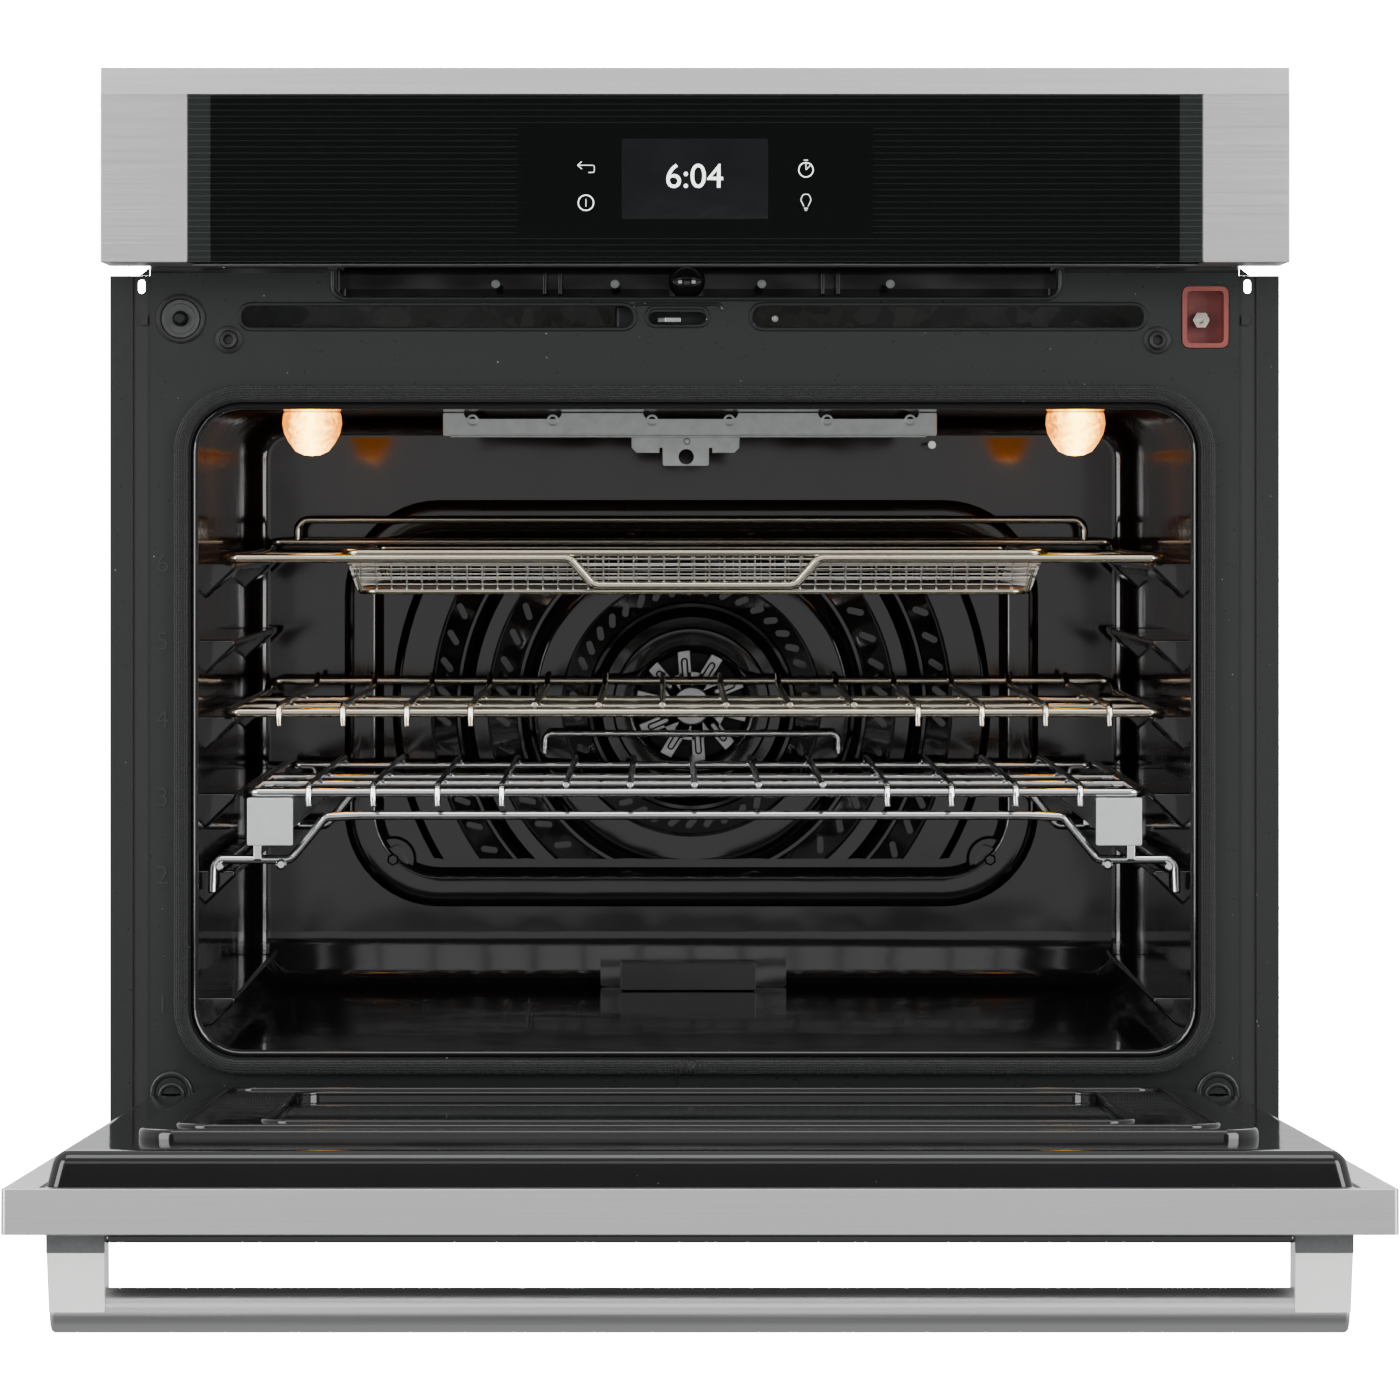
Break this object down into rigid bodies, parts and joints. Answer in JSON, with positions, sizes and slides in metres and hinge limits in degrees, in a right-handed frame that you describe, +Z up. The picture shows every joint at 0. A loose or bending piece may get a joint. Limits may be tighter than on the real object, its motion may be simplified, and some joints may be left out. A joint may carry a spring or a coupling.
{
  "type": "wall oven",
  "caption": "Built-in electric wall oven with its drop-down door open, control panel above, racks and fan inside.",
  "frame": {"origin": "on the underside of the base, midway between the sides, in the plane of the cabinet face", "axes": "+X to the right seen from the front, +Y into the cabinet, +Z up"},
  "size_m": [0.762, 1.1389, 0.737],
  "materials": {
    "brushed_stainless": "brushed along its length, satin",
    "polished_stainless": "polished",
    "charcoal_enamel": "vitreous enamel with fine white specks, semi-gloss",
    "black_enamel": "vitreous enamel, high gloss",
    "galvanised_steel": "galvanised, dull",
    "black_glass": "back-painted, polished",
    "clear_glass": "clear, heat-reflecting",
    "lamp_glass": "pressed, lit from inside",
    "braided_gasket": "braided glass-fibre yarn",
    "rack_wire": "nickel-plated, bright",
    "chrome_wire": "chromium-plated, bright",
    "zinc_steel": "zinc-plated, matt",
    "heating_element": "oxidised nickel alloy sheath",
    "mineral_wool": "fibrous, matt",
    "circuit_board": "solder-mask lacquer",
    "red_silicone": "moulded, satin",
    "nickel_plate": "nickel-plated",
    "motor_steel": "blackened steel",
    "black_plastic": "moulded",
    "fan_steel": "stamped, matt"
  },
  "bodies": {
    "root": {"side_panel_left": "galvanised_steel", "side_panel_right": "galvanised_steel", "rear_panel": "galvanised_steel", "top_cover": "galvanised_steel", "base_pan": "galvanised_steel", "terminal_box": "galvanised_steel", "flange_left": "charcoal_enamel", "flange_right": "charcoal_enamel", "hinge_receiver_left": "galvanised_steel", "hinge_receiver_right": "galvanised_steel", "front_frame": "charcoal_enamel", "door_gasket": "braided_gasket", "switch_bezel": "black_plastic", "probe_housing": "red_silicone", "probe_jack": "nickel_plate", "vent_duct": "galvanised_steel", "latch_motor": "motor_steel", "panel_frame": "brushed_stainless", "panel_glass": "black_glass", "panel_bracket": "galvanised_steel", "control_board": "circuit_board", "cavity_wall_left": "black_enamel", "cavity_wall_right": "black_enamel", "cavity_floor": "black_enamel", "cavity_ceiling": "black_enamel", "cavity_back": "black_enamel", "insulation_jacket": "mineral_wool", "broil_element": "heating_element", "bake_element": "heating_element", "convection_element": "heating_element", "temperature_sensor": "polished_stainless", "fan_cover": "black_enamel", "convection_motor": "motor_steel", "broil_shield": "zinc_steel", "lamp_left": "lamp_glass", "lamp_right": "lamp_glass", "blower_housing": "galvanised_steel", "blower_motor": "motor_steel", "glide_carrier": "chrome_wire"},
    "door": {"door_skin": "brushed_stainless", "door_outer_glass": "black_glass", "door_middle_glass": "clear_glass", "door_liner": "charcoal_enamel", "door_window": "clear_glass", "hinge_arm_left": "zinc_steel", "hinge_arm_right": "zinc_steel", "handle_bar": "brushed_stainless", "handle_post_left": "polished_stainless", "handle_post_right": "polished_stainless"},
    "air_fry_rack": {"air_fry_rack": "rack_wire", "air_fry_basket": "rack_wire"},
    "middle_rack": {"middle_rack": "rack_wire"},
    "glide_rack": {"glide_rack": "chrome_wire", "glide_rails": "chrome_wire"},
    "slide_members": {"slide_member_left": "zinc_steel", "slide_member_right": "zinc_steel"},
    "convection_fan": {"convection_fan": "fan_steel"},
    "blower_wheel": {"blower_wheel": "fan_steel"},
    "latch_bolt": {"latch_bolt": "zinc_steel"},
    "switch_plunger": {"switch_plunger": "motor_steel"}
  },
  "joints": [
    {"name": "door_hinge", "type": "hinge", "parent": "root", "child": "door", "pos_m": [0, -0.027, 0.062], "axis": [1, 0, 0], "range_deg": [-87, 0]},
    {"name": "air_fry_rack_slide", "type": "slide", "parent": "root", "child": "air_fry_rack", "axis": [0, -1, 0], "range_m": [0, 0.3]},
    {"name": "middle_rack_slide", "type": "slide", "parent": "root", "child": "middle_rack", "axis": [0, -1, 0], "range_m": [0, 0.3]},
    {"name": "glide_rack_slide", "type": "slide", "parent": "root", "child": "glide_rack", "axis": [0, -1, 0], "range_m": [0, 0.33]},
    {"name": "slide_member_slide", "type": "slide", "parent": "root", "child": "slide_members", "axis": [0, -1, 0], "range_m": [0, 0.165]},
    {"name": "convection_fan_spin", "type": "hinge", "parent": "root", "child": "convection_fan", "pos_m": [0, 0.445, 0.3085], "axis": [0, 1, 0], "continuous": true},
    {"name": "blower_spin", "type": "hinge", "parent": "root", "child": "blower_wheel", "pos_m": [0, 0.15, 0.64], "axis": [1, 0, 0], "continuous": true},
    {"name": "latch_slide", "type": "slide", "parent": "root", "child": "latch_bolt", "axis": [1, 0, 0], "range_m": [0, 0.01]},
    {"name": "switch_press", "type": "slide", "parent": "root", "child": "switch_plunger", "axis": [0, 1, 0], "range_m": [0, 0.004], "stiffness_N_per_m": 400, "springref_m": -0.002}
  ],
  "couplings": [
    {"joint": "slide_member_slide", "follows": "glide_rack_slide", "ratio": 0.5}
  ]
}
